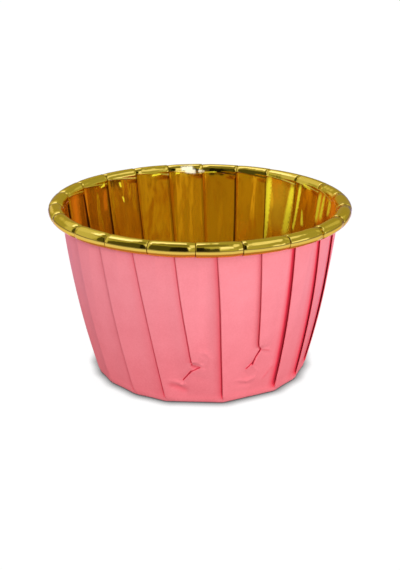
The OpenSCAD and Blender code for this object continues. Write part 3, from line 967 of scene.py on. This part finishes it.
def mirroredDome():
    # Upper half of a sphere that only the foil sees. Its brightness at a point is painted as patches: each
    # mixes its own tone in by the product of smooth steps from its four edges in azimuth and elevation.
    across, up, radius = studio["domeColumns"], studio["domeRows"], studio["domeRadius"]
    az, el = np.meshgrid(np.linspace(-180, 180, across, endpoint=False), np.linspace(0, 88, up))
    tone = np.full(az.shape, studio["domeTone"])
    for azFrom, azTo, elFrom, elTo, soft, value in studio["dome"]:
        centre = (azFrom + azTo) / 2
        off = np.abs((az - centre + 180) % 360 - 180) if azTo - azFrom < 360 else az * 0
        inAz = ease(((azTo - azFrom) / 2 - off) / soft + 0.5)
        inEl = ease((el - elFrom) / soft + 0.5) * ease((elTo - el) / soft + 0.5)
        tone += (value - tone) * inAz * inEl
    a, e = np.radians(az), np.radians(el)
    points = radius * np.stack([np.sin(a) * np.cos(e), -np.cos(a) * np.cos(e), np.sin(e)], -1)
    points = np.concatenate([points.reshape(-1, 3), [[0, 0, radius]]])
    col = np.arange(across)
    last = (up - 1) * across
    caps = np.stack([last + col, last + (col + 1) % across, np.full(across, up * across)], -1)
    mesh = bpy.data.meshes.new("mirroredDome")
    mesh.from_pydata(points.tolist(), [], ringQuads(up, across).tolist() + caps.tolist())
    painted = mesh.attributes.new("tone", "FLOAT", "POINT")
    painted.data.foreach_set("value", np.append(tone.ravel(), tone[-1].mean()).astype(np.float32))
    dome = bpy.data.objects.new("mirroredDome", mesh)
    bpy.context.scene.collection.objects.link(dome)
    for ray in ("camera", "diffuse", "shadow", "transmission", "volume_scatter"):
        setattr(dome, "visible_" + ray, False)
    # glowing paint, as bright as the tone and bluer where it is bright
    material, tree = newMaterial("domePaint")
    shown = add(tree, "Attribute", {"attribute_name": "tone"})
    pale = remap(tree, (shown, "Fac"), *studio["tintRange"])
    white = add(tree, "Mix", {"data_type": "RGBA", 6: studio["domeDim"], 7: studio["domeBright"]}, i0=pale)
    glow = add(tree, "Emission", Strength=(shown, "Fac"), Color=(white, 2))
    add(tree, "OutputMaterial", Surface=glow)
    mesh.materials.append(material)


def setCamera():
    # The camera stands at its distance and elevation in front of the target and looks at it.
    e = math.radians(studio["elevation"])
    target = Vector(studio["target"])
    place = target + studio["distance"] * Vector((0, -math.cos(e), math.sin(e)))
    data = bpy.data.cameras.new("viewer")
    data.lens = studio["lens"]
    data.sensor_width = 36.0
    data.clip_start = 0.01
    camera = bpy.data.objects.new("viewer", data)
    camera.location = place
    camera.rotation_euler = (target - place).to_track_quat("-Z", "Y").to_euler()
    bpy.context.scene.collection.objects.link(camera)
    bpy.context.scene.camera = camera


def whiteBoard():
    # White board: lit a little by the lamps, the rest its own white, which fades in the cup's contact shadow.
    # The foil mirrors it shaded close to the cup, lit beyond and faint far off, with smooth steps between.
    material, tree = newMaterial("whiteBoard")
    tone = studio["floorTone"]
    board = add(tree, "BsdfDiffuse", {"Color": (tone, tone, tone, 1)})
    contact = add(tree, "AmbientOcclusion", {"samples": 16, "Distance": studio["shadowReach"]})
    fade = remap(tree, (contact, "AO"), 0.3, 0.95, 0.1, studio["floorWhite"])
    ray = add(tree, "LightPath")
    own = remap(tree, (ray, "Is Diffuse Ray"), 0.0, 1.0, 1.0, studio["floorLight"])
    spot = add(tree, "TexCoord")
    away = add(tree, "VectorMath", {"operation": "LENGTH"}, i0=(spot, "Object"))
    (atCup, shaded), (edge, lit), (reach, _), (end, faint) = studio["floorMirrored"]
    close = remap(tree, (away, "Value"), atCup, edge, shaded, lit, smooth=True)
    far = remap(tree, (away, "Value"), reach, end, 1.0, faint / lit, smooth=True)
    mirrored = maths(tree, "MULTIPLY", close, far)
    dim = add(tree, "Mix", {"data_type": "FLOAT", 2: 1.0}, i0=(ray, "Is Glossy Ray"), i3=mirrored)
    own = maths(tree, "MULTIPLY", own, dim)
    nearCup = remap(tree, (away, "Value"), atCup, edge, 1.0, 0.0)
    tinted = add(tree, "Mix", {"data_type": "RGBA", 6: studio["floorTint"], 7: studio["pinkBounce"]},
                 i0=nearCup)
    colour = add(tree, "Mix", {"data_type": "RGBA", 6: (1, 1, 1, 1)}, i0=(ray, "Is Glossy Ray"),
                 i7=(tinted, 2))
    strength = maths(tree, "MULTIPLY", fade, own)
    glow = add(tree, "Emission", Strength=strength, Color=(colour, 2))
    both = add(tree, "AddShader", i0=board, i1=glow)
    add(tree, "OutputMaterial", Surface=both)
    return material


def whiteFloor():
    # a square as wide as twice floorHalf, just under the cup
    half = studio["floorHalf"]
    mesh = bpy.data.meshes.new("whiteFloor")
    corners = [(-half, -half, 0), (half, -half, 0), (half, half, 0), (-half, half, 0)]
    mesh.from_pydata(corners, [], [(0, 1, 2, 3)])
    mesh.materials.append(whiteBoard())
    floor = bpy.data.objects.new("whiteFloor", mesh)
    floor.location.z = -studio["floorDrop"]
    bpy.context.scene.collection.objects.link(floor)


def whiteRoom():
    # surround: plain white to the camera and in the foil, dimmer as a light
    world = bpy.data.worlds.new("whiteRoom")
    bpy.context.scene.world = world
    world.use_nodes = True
    tree = world.node_tree
    tree.nodes.clear()
    ray = add(tree, "LightPath")
    seen = maths(tree, "MAXIMUM", (ray, "Is Camera Ray"), (ray, "Is Glossy Ray"))
    seen = maths(tree, "MAXIMUM", seen, (ray, "Is Transmission Ray"))
    strength = remap(tree, seen, 0.0, 1.0, studio["worldLight"])
    back = add(tree, "Background", {"Color": (1, 1, 1, 1)}, Strength=strength)
    add(tree, "OutputWorld", Surface=back)


def setLamps():
    # each lamp shines towards the cup from its azimuth and elevation, and the foil doesn't mirror it
    for name, (azimuth, elevation, power, size) in studio["lamps"].items():
        lamp = bpy.data.lights.new(name, "SUN")
        lamp.energy = power
        lamp.angle = math.radians(size)
        sun = bpy.data.objects.new(name, lamp)
        sun.rotation_euler = aim(azimuth, elevation).to_track_quat("Z", "Y").to_euler()
        sun.visible_glossy = False
        bpy.context.scene.collection.objects.link(sun)


setCamera()
whiteFloor()
whiteRoom()
setLamps()
mirroredDome()
bpy.context.scene.view_settings.view_transform = "Standard"
print("studio set")
